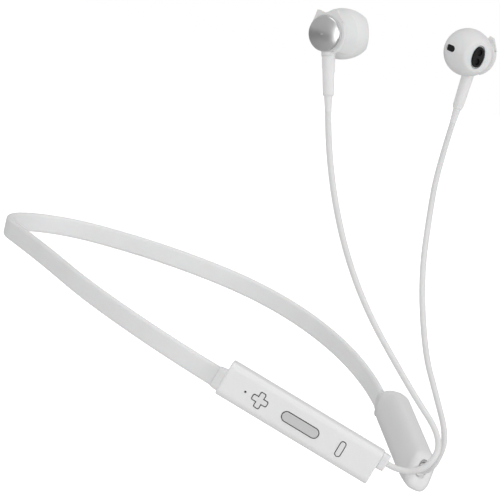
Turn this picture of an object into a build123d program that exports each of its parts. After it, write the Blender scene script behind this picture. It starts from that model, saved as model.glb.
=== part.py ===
from build123d import *
from math import atan2, cos, degrees, pi, radians, sin, sqrt, tan
import os

# Neckband earphones, worn: +X from the nape to the chest, +Y to the wearer's left,
# +Z up. The origin is where the nape touches the inner face of the band.
# Lengths are in millimetres and angles in degrees.

# ---- band ------------------------------------------------------------------
nape_radius = 32.0           # the three arcs of one arm, measured on the band's middle
nape_turn = 59.0
side_radius = 400.0
side_turn = 8.4
front_radius = 94.5
front_turn = 49.5
battery_extra_turn = 14.0    # the battery side keeps bending because its pod is shorter
drop_radius = 440.0          # the arms sink towards the chest on this arc
band_height = 8.0
band_thickness = 2.6
band_edge_radius = 1.1
band_inset = 4.0             # length of band held inside each pod

strip_height = 2.8           # memory-metal strip
strip_thickness = 0.7
strip_rise = 1.7
ribbon_height = 2.6          # flat cable between the pods
ribbon_thickness = 0.8
ribbon_drop = 1.8
channel_clearance = 0.08

# ---- pods ------------------------------------------------------------------
pod_width = 14.2
pod_thickness = 9.8
pod_corner = 3.8             # the sides that lie against the body are well rounded
control_face_corner = 2.4    # the face that carries the controls has tighter edges
battery_face_corner = 4.8
pod_wall = 1.2
pod_flush = 0.8              # how far a pod stands below the band's lower edge
pod_lean_out = 2.0           # a pod's middle lies outside the band's middle
control_length = 66.0
battery_length_top = 51.6
battery_length_bottom = 59.6
battery_shoulder = 5.5
battery_front_shoulder = 4.0
battery_tip_radius = 5.0
battery_end_edge = 0.6
end_edge_radius = 0.8
parting_shift = 0.6          # the control pod's halves meet a little outside its middle
collar_length = 3.2
collar_flare = 1.7           # how far the control collar stands out past the band
collar_blend = 0.9           # the same for the battery collar, which blends into its pod
collar_seat = 2.6            # depth of the battery collar inside the pod's shoulder
collar_low = 0.5             # collar below the band's lower edge, where it meets the pod
collar_near = 0.7            # collar on the neck side of the band
collar_lip = 0.6             # how much bigger than the band it is where it starts
collar_start_corner = 1.3
collar_corner = 2.0
collar_fit = 0.16
collar_gap = 0.05
tab_width = 5.0              # the tab beside the band that locks a collar in its pod
tab_thickness = 1.1
tab_depth = 2.6
pocket_depth = 6.8
pocket_fit = 0.3

gland_height = 6.8           # the gland stands on the pod's end as a rounded block
gland_depth = 5.2
gland_corner = 1.4
gland_diameter = 5.4
gland_reach = 3.0
gland_rise = 3.2
cord_diameter = 2.4

# ---- controls --------------------------------------------------------------
button_drop = 0.2            # the controls sit below the middle of the face
button_proud = 0.35
button_travel = 0.35
button_gap = 0.1
moat_width = 0.25            # shallow groove that outlines each button
moat_depth = 0.5
button_flange = 0.7
flange_thickness = 0.6
flange_gap = 0.05
mic_at = 9.8
mic_hole = 0.9
plus_at = 16.1
plus_span = 6.0
plus_arm = 1.9
plus_corner = 0.55
play_at = 33.7
play_length = 15.4
play_width = 3.7
minus_at = 51.2
minus_length = 5.9
minus_width = 1.9
switch_size = 3.0
switch_height = 1.5
board_thickness = 0.8
board_start = 12.5
board_end_room = 4.0         # free length past the board
board_width = 10.6

socket_at = 26.0
socket_width = 7.4
socket_height = 2.6
socket_depth = 5.0
socket_wall = 0.3

# ---- earbuds ---------------------------------------------------------------
bulb_radius = 9.5
bulb_reach = 11.5            # half length of the bulb along the nozzle, before it is cut flat
nose_reach = 10.4
nose_edge = 0.9
cover_thickness = 1.1
housing_wall = 1.0
back_turn = 133.0            # from the nozzle round to the metal disc
back_dip = 4.0               # the barrel points a little downwards
back_radius_root = 9.0
back_radius_end = 6.7
back_reach = 13.2
disc_radius = 6.4
disc_thickness = 1.2
disc_dome = 1.5
disc_rim = 0.5
nozzle_half_width = 2.8      # the nozzle's opening is oval
nozzle_half_height = 4.15
stem_offset = 10.0           # stem axis, out along the back housing
stem_top = 4.9
stem_bottom = 4.2
stem_start = 9.0
stem_end = 23.3
boot_top = 3.2
boot_bottom = 2.5
boot_end = 29.5
skirt_thickness = 0.5        # the cover runs on over part of the barrel
skirt_start = 3.5
skirt_end = 12.7
skirt_low = 62.0             # degrees, from the barrel's inner side down and up round it
skirt_high = 125.0
lip_radius = 8.4             # a raised lip along the skirt's edge
lip_width = 1.9
lip_high = 50.0
fin_thickness = 1.8
fin_corners = ((-5.4, 4.2), (-2.9, 8.9), (3.6, 5.8))   # across the barrel and up from its axis
prong_corners = ((2.4, 6.0), (3.4, 8.7), (5.0, 8.3), (7.8, 3.5))

right_bud_at = (157.5, -43.0, 112.2)
right_bud_heading = 46.5
right_bud_lean = -15.0
left_bud_at = (162.1, 43.9, 112.8)
left_bud_heading = -30.7
left_bud_lean = 5.0

os.makedirs("parts", exist_ok=True)


# ---- shared geometry -------------------------------------------------------
def unit(angle: float) -> Vector:
    """A level unit vector at an angle from +X."""
    return Vector(cos(radians(angle)), sin(radians(angle)), 0)


arcs = [(nape_radius, nape_turn), (side_radius, side_turn), (front_radius, front_turn)]


def arc_centres() -> list:
    """Centre, radius and starting bearing of the left arm's arcs, as (Vector, radius, angle)."""
    centre, bearing, found = Vector(nape_radius - band_thickness / 2, 0, 0), 180.0, []
    for index, (radius, turn) in enumerate(arcs):
        found.append((centre, radius, bearing))
        bearing -= turn
        if index + 1 < len(arcs):
            centre = centre + unit(bearing) * (radius - arcs[index + 1][0])
    return found


def arm_edge(shift: float, last_turn: float, side: int) -> Vector:
    """Draw one arm's side and front arcs, moved outwards by shift; gives the arm's end."""
    centres = arc_centres()
    for index, (centre, radius, bearing) in enumerate(centres[1:], start=1):
        turn = arcs[index][1] if index < 2 else last_turn
        middle = Vector(centre.X, side * centre.Y, 0)
        CenterArc(middle, radius + shift, side * bearing, -side * turn)
    centre, radius, bearing = centres[-1]
    end = centre + unit(bearing - last_turn) * (radius + shift)
    return Vector(end.X, side * end.Y, 0)


def band_solid(thickness: float, height: float, rise: float, inset: float,
               rounding: float = 0.0) -> Part:
    """A strip that follows the whole band, level in plan and sinking along the arms.

    Args:
        thickness: Size across the strip in plan.
        height: Size up the strip.
        rise: How far its middle lies above the band's middle.
        inset: Length that runs on past each arm's end into the pod.
        rounding: Radius of the four edges that run along the strip.
    """
    reach = degrees(inset / front_radius)
    left_turn = front_turn + battery_extra_turn + reach
    right_turn = front_turn + reach
    centre = arc_centres()[0][0]
    with BuildPart() as strip:
        with BuildSketch(Plane.XY.offset(-drop_radius / 4)):
            with BuildLine():
                ends = []
                for shift in (thickness / 2, -thickness / 2):
                    CenterArc(centre, nape_radius + shift, 180 - nape_turn, 2 * nape_turn)
                    ends.append([arm_edge(shift, left_turn, 1), arm_edge(shift, right_turn, -1)])
                for outer, inner in zip(*ends):
                    Line(outer, inner)
            make_face()
        extrude(amount=drop_radius / 2)
        with BuildSketch(Plane.XZ):
            with BuildLine():
                radii = (drop_radius + rise + height / 2, drop_radius + rise - height / 2)
                start, sweep_angle = 92.0, -30.0
                low = (0, -drop_radius)
                for radius in radii:
                    CenterArc(low, radius, start, sweep_angle)
                for bearing in (start, start + sweep_angle):
                    edge = [unit(bearing) * radius + Vector(*low) for radius in radii]
                    Line(*edge)
            make_face()
        extrude(amount=drop_radius / 4, both=True, mode=Mode.INTERSECT)
        if rounding > 0:
            fillet(strip.edges().filter_by(lambda e: e.length > 2 * band_height), rounding)
    return strip.part


def arm_end(extra_turn: float, side: int) -> Plane:
    """Plane at an arm's end: X runs on down the pod, Y up across it, Z to the wearer's right."""
    centre, radius, bearing = arc_centres()[-1]
    last = bearing - front_turn - extra_turn
    flat = centre + unit(last) * radius
    heading = unit(last - 90)
    level = sqrt(drop_radius**2 - flat.X**2)
    forward = Vector(heading.X, side * heading.Y, -heading.X * flat.X / level)
    place = Vector(flat.X, side * flat.Y, level - drop_radius)
    right = Vector(side * heading.Y, -heading.X, 0)
    return Plane(origin=place, x_dir=forward, z_dir=right)


control_plane = arm_end(0, -1)
battery_plane = arm_end(battery_extra_turn, 1)
pod_rise = pod_width / 2 - band_height / 2 - pod_flush


def along(plane: Plane, distance: float, up: float = 0.0, right: float = 0.0) -> Plane:
    """A plane across a pod at a distance down it, with X up the pod and Z along it."""
    place = plane.from_local_coords(Vector(distance, up, right))
    return Plane(origin=place, x_dir=plane.y_dir, z_dir=plane.x_dir)


def face_on(plane: Plane, out: float) -> Plane:
    """A plane parallel to a pod's side faces, lifted towards the wearer's right."""
    return plane.offset(out)


def rounded_block(plane: Plane, start: float, end: float, lean: float, shrink: float,
                  face_corner: float = pod_corner) -> Part:
    """A pod's rounded section drawn out from start to end.

    Args:
        plane: The pod's own plane.
        start: Where it begins, along the pod.
        end: Where it ends.
        lean: How far the pod's middle lies to the wearer's right of the band's middle.
        shrink: How much smaller it is made all round.
        face_corner: Corner radius of the side that faces away from the neck.
    """
    with BuildPart() as block:
        with BuildSketch(along(plane, start, pod_rise, lean)) as section:
            Rectangle(pod_width - 2 * shrink, pod_thickness - 2 * shrink)
            for side, corner in ((1, face_corner), (-1, pod_corner)):
                across = section.vertices().sort_by(Axis.Y)
                ends = across[-2:] if side * lean > 0 else across[:2]
                fillet(ends, corner - shrink)
        extrude(amount=end - start)
    return block.part


def collar_form(plane: Plane, lean: float, flare: float, seat: float, grow: float) -> Part:
    """The outside of a collar, flaring from the band to its seat in or on the pod."""
    away = 1 if lean > 0 else -1
    tall = band_height + collar_low + flare / 2
    deep = band_thickness + collar_near + flare
    middle = ((flare / 2 - collar_low) / 2, away * (flare - collar_near) / 2)
    with BuildPart() as form:
        with BuildSketch(along(plane, -collar_length)):
            RectangleRounded(band_height + collar_lip + 2 * grow,
                             band_thickness + collar_lip + 2 * grow, collar_start_corner)
        with BuildSketch(along(plane, seat, *middle)):
            RectangleRounded(tall + 2 * grow, deep + 2 * grow, collar_corner)
        loft()
    return form.part


def collar_tab(plane: Plane, lean: float, depth: float, grow: float) -> Part:
    """The tab that a collar pushes into the end of its pod, beside the band."""
    away = 1 if lean > 0 else -1
    beside = away * (band_thickness / 2 + collar_fit + tab_thickness / 2)
    with BuildPart() as tab:
        with BuildSketch(along(plane, -collar_gap, 0, beside)):
            Rectangle(tab_width + 2 * grow, tab_thickness + 2 * grow)
        extrude(amount=depth + collar_gap + grow)
    return tab.part


def band_pocket(plane: Plane, start: float, depth: float, fit: float) -> Part:
    """The room that the end of the band needs in a collar or a pod."""
    with BuildPart() as pocket:
        with BuildSketch(along(plane, start)):
            RectangleRounded(band_height + 2 * fit, band_thickness + 2 * fit,
                             band_edge_radius + fit)
        extrude(amount=depth)
    return pocket.part


def collar(plane: Plane, lean: float, flare: float, seat: float) -> Part:
    """A flared sleeve that closes a pod round the band, with the band's slot through it."""
    with BuildPart() as sleeve:
        add(collar_form(plane, lean, flare, seat, 0))
        add(collar_tab(plane, lean, seat + tab_depth, 0))
        add(band_pocket(plane, -2 * collar_length, 4 * collar_length, collar_fit),
            mode=Mode.SUBTRACT)
    return sleeve.part


# ---- band pieces -----------------------------------------------------------
def channel(thickness: float, height: float, rise: float) -> Part:
    """The room that a strip needs inside the sleeve."""
    room = 2 * channel_clearance
    return band_solid(thickness + room, height + room, rise, band_inset + 1)


with BuildPart() as band_sleeve:
    add(band_solid(band_thickness, band_height, 0, band_inset, band_edge_radius))
    add(channel(strip_thickness, strip_height, strip_rise), mode=Mode.SUBTRACT)
    add(channel(ribbon_thickness, ribbon_height, -ribbon_drop), mode=Mode.SUBTRACT)

with BuildPart() as memory_strip:
    add(band_solid(strip_thickness, strip_height, strip_rise, band_inset))

with BuildPart() as band_ribbon:
    add(band_solid(ribbon_thickness, ribbon_height, -ribbon_drop, band_inset))


# ---- control pod -----------------------------------------------------------
face = pod_lean_out + pod_thickness / 2            # height of the face that carries the controls
parting = pod_lean_out + parting_shift             # the pod's halves meet here
inside = face - pod_wall
back_inside = pod_lean_out - pod_thickness / 2 + pod_wall
controls_rise = pod_rise - button_drop
flange_top = inside - flange_gap
stem_low = flange_top - flange_thickness
switch_top = stem_low - button_travel - button_gap
board_top = switch_top - switch_height
board_end = control_length - board_end_room


def plus_outline(grow: float) -> None:
    """The plus, grown all round."""
    for angle in (0, 90):
        RectangleRounded(plus_span + 2 * grow, plus_arm + 2 * grow, plus_corner + grow / 2,
                         rotation=angle)


def play_outline(grow: float) -> None:
    """The long middle button, grown all round."""
    SlotOverall(play_length + 2 * grow, play_width + 2 * grow)


def minus_outline(grow: float) -> None:
    """The minus, which lies across the pod, grown all round."""
    SlotOverall(minus_length + 2 * grow, minus_width + 2 * grow, rotation=90)


controls = {"plus": (plus_at, plus_outline), "play": (play_at, play_outline),
            "minus": (minus_at, minus_outline)}


def pod_half(outer: bool) -> Part:
    """Half of the control pod's hollow shell, outer or inner, up to the parting plane."""
    side = 1 if outer else -1
    with BuildPart() as half:
        add(rounded_block(control_plane, 0, control_length, pod_lean_out, 0,
                          control_face_corner))
        ends = half.faces().filter_by(Axis(control_plane.origin, control_plane.x_dir))
        fillet(ends.edges(), end_edge_radius)
        add(rounded_block(control_plane, pod_wall, control_length - pod_wall, pod_lean_out,
                          pod_wall, control_face_corner), mode=Mode.SUBTRACT)
        with BuildSketch(face_on(control_plane, parting)):
            with Locations((control_length / 2, pod_rise)):
                Rectangle(2 * control_length, 2 * pod_width)
        extrude(amount=-side * pod_thickness, mode=Mode.SUBTRACT)
        add(collar_tab(control_plane, pod_lean_out, tab_depth, collar_gap), mode=Mode.SUBTRACT)
        add(band_pocket(control_plane, -end_edge_radius, pocket_depth, pocket_fit),
            mode=Mode.SUBTRACT)
    return half.part


def gland_bore(plane: Plane, distance: float, up: float, right: float, radius: float) -> Part:
    """A round hole through a pod's far end wall."""
    with BuildPart() as bore:
        with BuildSketch(along(plane, distance, up, right)):
            Circle(radius)
        extrude(amount=2 * pod_wall, both=True)
    return bore.part


gland_up = pod_rise + gland_rise

with BuildPart() as control_face_shell:
    add(pod_half(True))
    for where, outline in controls.values():
        with BuildSketch(face_on(control_plane, face)):
            with Locations((where, controls_rise)):
                outline(button_gap)
        extrude(amount=-2 * pod_wall, mode=Mode.SUBTRACT)
    with BuildSketch(face_on(control_plane, face)):
        with Locations((mic_at, controls_rise)):
            Circle(mic_hole / 2)
    extrude(amount=-2 * pod_wall, mode=Mode.SUBTRACT)
    for where, outline in controls.values():
        with BuildSketch(face_on(control_plane, face)):
            with Locations((where, controls_rise)):
                outline(button_gap + moat_width)
        extrude(amount=-moat_depth, mode=Mode.SUBTRACT)
    add(gland_bore(control_plane, control_length, gland_up, pod_lean_out,
                   gland_diameter / 2 - 0.6), mode=Mode.SUBTRACT)

with BuildPart() as control_back_shell:
    add(pod_half(False))
    with BuildSketch(face_on(control_plane, back_inside - 0.1)):
        for across in (-1, 1):
            for where in (board_start + 3, board_end - 3):
                with Locations((where, pod_rise + across * (board_width / 2 - 1.2))):
                    Circle(1.1)
    extrude(amount=board_top - board_thickness - back_inside + 0.1)
    socket_middle = board_top - board_thickness - socket_height / 2 - 0.1
    with BuildSketch(Plane(origin=control_plane.from_local_coords(
            Vector(socket_at, pod_rise - pod_width / 2 + pod_wall, socket_middle)),
            x_dir=control_plane.x_dir, z_dir=-control_plane.y_dir)):
        RectangleRounded(socket_width + 0.2, socket_height + 0.2, 1.0)
    extrude(amount=2 * pod_wall, both=True, mode=Mode.SUBTRACT)
    add(gland_bore(control_plane, control_length, gland_up, pod_lean_out,
                   gland_diameter / 2 - 0.6), mode=Mode.SUBTRACT)

with BuildPart() as control_collar:
    add(collar(control_plane, pod_lean_out, collar_flare, 0))

with BuildPart() as control_gland:
    with BuildSketch(along(control_plane, control_length - 2 * pod_wall, gland_up,
                           pod_lean_out)):
        Circle(gland_diameter / 2 - 0.1)
    extrude(amount=pod_wall - 0.05)
    with BuildSketch(along(control_plane, control_length - 2 * pod_wall, gland_up,
                           pod_lean_out)):
        Circle(gland_diameter / 2 - 0.65)
    extrude(amount=2 * pod_wall + 0.1)
    with BuildSketch(along(control_plane, control_length, gland_up, pod_lean_out)):
        RectangleRounded(gland_height, gland_depth, gland_corner)
    extrude(amount=gland_reach, taper=4)
    down_pod = Axis(control_plane.origin, control_plane.x_dir)
    rim = control_gland.faces().filter_by(down_pod).sort_by(down_pod)[-1]
    fillet(rim.edges(), 0.7)

with BuildPart() as control_board:
    with BuildSketch(face_on(control_plane, board_top - board_thickness)):
        with Locations(((board_start + board_end) / 2, pod_rise)):
            Rectangle(board_end - board_start, board_width)
    extrude(amount=board_thickness)
    with BuildSketch(face_on(control_plane, board_top - board_thickness)):
        with Locations((socket_at + 16, pod_rise)):
            Rectangle(7, 7)
        with Locations((socket_at + 25, pod_rise + 1)):
            Rectangle(5, 4)
    extrude(amount=-1.1)

with BuildPart() as charging_socket:
    mouth = Plane(origin=control_plane.from_local_coords(
        Vector(socket_at, pod_rise - pod_width / 2 + 0.5, socket_middle)),
        x_dir=control_plane.x_dir, z_dir=control_plane.y_dir)
    with BuildSketch(mouth):
        RectangleRounded(socket_width, socket_height, 0.9)
    extrude(amount=socket_depth)
    with BuildSketch(mouth):
        RectangleRounded(socket_width - 2 * socket_wall, socket_height - 2 * socket_wall, 0.6)
    extrude(amount=socket_depth - 0.8, mode=Mode.SUBTRACT)
    with BuildSketch(mouth.offset(1.0)):
        Rectangle(socket_width - 2.4, 0.7)
    extrude(amount=socket_depth - 1.2)

with BuildPart() as microphone:
    with BuildSketch(face_on(control_plane, inside - 0.02)):
        with Locations((mic_at, controls_rise)):
            Circle(1.5)
    extrude(amount=-1.1)
    with BuildSketch(face_on(control_plane, inside - 0.02)):
        with Locations((mic_at, controls_rise)):
            Circle(mic_hole / 2)
    extrude(amount=-0.4, mode=Mode.SUBTRACT)


def button(where: float, outline) -> Part:
    """A button: its cap in the face, a flange that keeps it in, and a foot over its switch."""
    with BuildPart() as key:
        with BuildSketch(face_on(control_plane, flange_top - 0.1)):
            with Locations((where, controls_rise)):
                outline(0)
        extrude(amount=face + button_proud - flange_top + 0.1)
        outwards = Axis(control_plane.origin, control_plane.z_dir)
        cap = key.faces().filter_by(outwards).sort_by(outwards)[-1]
        fillet(cap.edges(), 0.25)
        with BuildSketch(face_on(control_plane, stem_low)):
            with Locations((where, controls_rise)):
                outline(button_flange)
        extrude(amount=flange_thickness)
    return key.part


def tact_switch(where: float) -> Part:
    """A switch on the board, with its plunger towards the button."""
    with BuildPart() as switch:
        with BuildSketch(face_on(control_plane, board_top)):
            with Locations((where, controls_rise)):
                Rectangle(switch_size, switch_size)
        extrude(amount=switch_height - 0.4)
        with BuildSketch(face_on(control_plane, board_top)):
            with Locations((where, controls_rise)):
                Circle(0.8)
        extrude(amount=switch_height)
    return switch.part


with BuildPart() as plus_button:
    add(button(plus_at, plus_outline))
with BuildPart() as play_button:
    add(button(play_at, play_outline))
with BuildPart() as minus_button:
    add(button(minus_at, minus_outline))
with BuildPart() as plus_switch:
    add(tact_switch(plus_at))
with BuildPart() as play_switch:
    add(tact_switch(play_at))
with BuildPart() as minus_switch:
    add(tact_switch(minus_at))


# ---- battery pod -----------------------------------------------------------
battery_lean = -pod_lean_out
cell_start = 9.6
cell_end_room = 8.0          # free length between the cell and the slanting end
cell_length = battery_length_top - cell_start - cell_end_room
cell_fit = 0.5
end_pocket_length = 9.0
end_pocket_width = 4.4
end_pocket_depth = 1.5
end_gland_diameter = 4.0
end_gland_reach = 1.0
end_gland_up = 1.7
end_gland_right = -0.1


def battery_side(shrink: float) -> Part:
    """The pod seen from the side: a soft shoulder at the band, an end cut on the slant."""
    low, high = pod_rise - pod_width / 2 + shrink, pod_rise + pod_width / 2 - shrink
    tip, brow = battery_length_bottom - 1.2 * shrink, battery_length_top - 1.2 * shrink
    rounds = {(shrink, low): 1.4, (tip, low): battery_tip_radius,
              (brow, high): 2.6, (shrink, high): battery_shoulder}
    with BuildPart() as blank:
        with BuildSketch(face_on(battery_plane, battery_lean)) as outline:
            with BuildLine():
                Polyline(*rounds, close=True)
            make_face()
            for corner, radius in rounds.items():
                fillet(outline.vertices().sort_by_distance(corner)[0], radius)
        extrude(amount=pod_thickness, both=True)
    return blank.part


def battery_body(shrink: float) -> Part:
    """The battery pod's whole form, made smaller all round by shrink."""
    from_above = Plane(origin=battery_plane.origin, x_dir=battery_plane.x_dir,
                       z_dir=battery_plane.y_dir)
    run_on = 2 * battery_tip_radius
    with BuildPart() as body:
        add(rounded_block(battery_plane, shrink, battery_length_bottom, battery_lean, shrink,
                          battery_face_corner))
        add(battery_side(shrink), mode=Mode.INTERSECT)
        with BuildSketch(from_above):
            with Locations(((battery_length_bottom + run_on + shrink) / 2, -battery_lean)):
                RectangleRounded(battery_length_bottom + run_on - shrink,
                                 pod_thickness - 2 * shrink, battery_front_shoulder - shrink)
        extrude(amount=2 * pod_width, both=True, mode=Mode.INTERSECT)
    return body.part


slant_middle = (battery_length_top + battery_length_bottom) / 2
slant_out = (battery_plane.x_dir * pod_width
             + battery_plane.y_dir * (battery_length_bottom - battery_length_top)).normalized()
slant_up = slant_out.cross(battery_plane.z_dir) * -1
slant_plane = Plane(origin=battery_plane.from_local_coords(
    Vector(slant_middle, pod_rise, battery_lean)), x_dir=slant_up, z_dir=slant_out)


def battery_room() -> Part:
    """The hollow for the cell, closed before the slanting end."""
    with BuildPart() as room:
        add(battery_body(pod_wall))
        add(rounded_block(battery_plane, 0, battery_length_top - 6, battery_lean, 0),
            mode=Mode.INTERSECT)
    return room.part


def battery_half(outer: bool) -> Part:
    """One half of the battery pod's shell; the outer half faces away from the neck."""
    side = 1 if outer else -1
    with BuildPart() as half:
        add(battery_body(0))
        add(battery_room(), mode=Mode.SUBTRACT)
        with BuildSketch(slant_plane):
            with Locations((end_gland_up, 0)):
                RectangleRounded(end_pocket_length, end_pocket_width, end_pocket_width / 2.2)
        extrude(amount=end_pocket_depth, both=True, mode=Mode.SUBTRACT)
        with BuildSketch(slant_plane):
            with Locations((end_gland_up, -end_gland_right)):
                Circle(end_gland_diameter / 2 - 0.6)
        extrude(amount=-4 * pod_thickness / 3, mode=Mode.SUBTRACT)
        with BuildSketch(face_on(battery_plane, battery_lean)):
            with Locations((slant_middle / 2, pod_rise)):
                Rectangle(2 * slant_middle, 2 * pod_width)
        extrude(amount=side * pod_thickness, mode=Mode.SUBTRACT)
        add(collar_form(battery_plane, battery_lean, collar_blend, collar_seat, collar_gap),
            mode=Mode.SUBTRACT)
        add(collar_tab(battery_plane, battery_lean, collar_seat + tab_depth, collar_gap),
            mode=Mode.SUBTRACT)
        add(band_pocket(battery_plane, 0, pocket_depth, pocket_fit), mode=Mode.SUBTRACT)
    return half.part


with BuildPart() as battery_inner_shell:
    add(battery_half(False))
with BuildPart() as battery_outer_shell:
    add(battery_half(True))
with BuildPart() as battery_collar:
    add(collar(battery_plane, battery_lean, collar_blend, collar_seat))

with BuildPart() as battery_cell:
    with BuildSketch(along(battery_plane, cell_start, pod_rise, battery_lean)):
        RectangleRounded(pod_width - 2 * pod_wall - 2 * cell_fit,
                         pod_thickness - 2 * pod_wall - 2 * cell_fit,
                         battery_face_corner - pod_wall - cell_fit)
    extrude(amount=cell_length)

with BuildPart() as protection_board:
    with BuildSketch(along(battery_plane, cell_start - 1.6, pod_rise, battery_lean)):
        Rectangle(9.0, 4.6)
    extrude(amount=0.8)

with BuildPart() as battery_gland:
    with BuildSketch(slant_plane.offset(-end_pocket_depth)):
        with Locations((end_gland_up, -end_gland_right)):
            Circle(end_gland_diameter / 2 - 0.1)
    extrude(amount=end_pocket_depth + end_gland_reach, taper=3)
    with BuildSketch(slant_plane.offset(-end_pocket_depth)):
        with Locations((end_gland_up, -end_gland_right)):
            Circle(end_gland_diameter / 2 - 0.65)
    extrude(amount=-pod_wall)


# ---- earbuds ---------------------------------------------------------------
vent_turn = 77.0
vent_rise = 0.1
vent_length = 4.4
vent_height = 2.6
vent_depth = 0.35
housing_gap = 0.04
nozzle_rim = 0.6             # wall round the nozzle's opening
nozzle_depth = 3.2
grille_depth = 0.95
grille_thickness = 0.5
grille_spread = 1.9
grille_hole = 2.6
driver_radius = 6.3
driver_at = 0.6
driver_depth = 2.6


def bulb(shrink: float) -> Part:
    """The front half of the bulb, flat where the nozzle opens, made smaller by shrink."""
    with BuildPart() as front:
        with BuildSketch(Plane.XZ):
            Ellipse(bulb_reach - shrink, bulb_radius - shrink)
            with Locations((nose_reach - shrink, 0)):
                Rectangle(bulb_reach, 3 * bulb_radius, align=(Align.MIN, Align.CENTER),
                          mode=Mode.SUBTRACT)
            Rectangle(3 * bulb_reach, 3 * bulb_radius, align=(Align.CENTER, Align.MAX),
                      mode=Mode.SUBTRACT)
            Rectangle(3 * bulb_reach, 3 * bulb_radius, align=(Align.MAX, Align.CENTER),
                      mode=Mode.SUBTRACT)
        revolve(axis=Axis.X)
        nose = front.faces().sort_by(Axis.X)[-1]
        fillet(nose.edges(), max(nose_edge - shrink / 2, nose_edge / 3))
    return front.part


def back_ball(shrink: float) -> Part:
    """The half ball behind the bulb."""
    with BuildPart() as ball:
        with BuildSketch(Plane.XZ):
            Circle(bulb_radius - shrink)
            Rectangle(3 * bulb_radius, 3 * bulb_radius, align=(Align.CENTER, Align.MAX),
                      mode=Mode.SUBTRACT)
            Rectangle(3 * bulb_radius, 3 * bulb_radius, align=(Align.MIN, Align.CENTER),
                      mode=Mode.SUBTRACT)
        revolve(axis=Axis.X)
    return ball.part


def dome_height(base: float, rise: float, radius: float) -> float:
    """Height of a round dome over its base circle, at a radius from its middle."""
    ball = (base**2 + rise**2) / (2 * rise)
    return rise - (ball - sqrt(ball**2 - radius**2))


def disc_along_nozzle(start: float, depth: float, radius: float) -> Part:
    """A plain disc on the nozzle's axis, from start over depth."""
    with BuildPart() as disc:
        with BuildSketch(Plane.YZ.offset(start)):
            Circle(radius)
        extrude(amount=depth)
    return disc.part


def oval_along_nozzle(start: float, depth: float, grow: float) -> Part:
    """The nozzle's oval, grown all round, drawn out along the nozzle from start over depth."""
    with BuildPart() as oval:
        with BuildSketch(Plane.YZ.offset(start)):
            Ellipse(nozzle_half_width + grow, nozzle_half_height + grow)
        extrude(amount=depth)
    return oval.part


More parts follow.
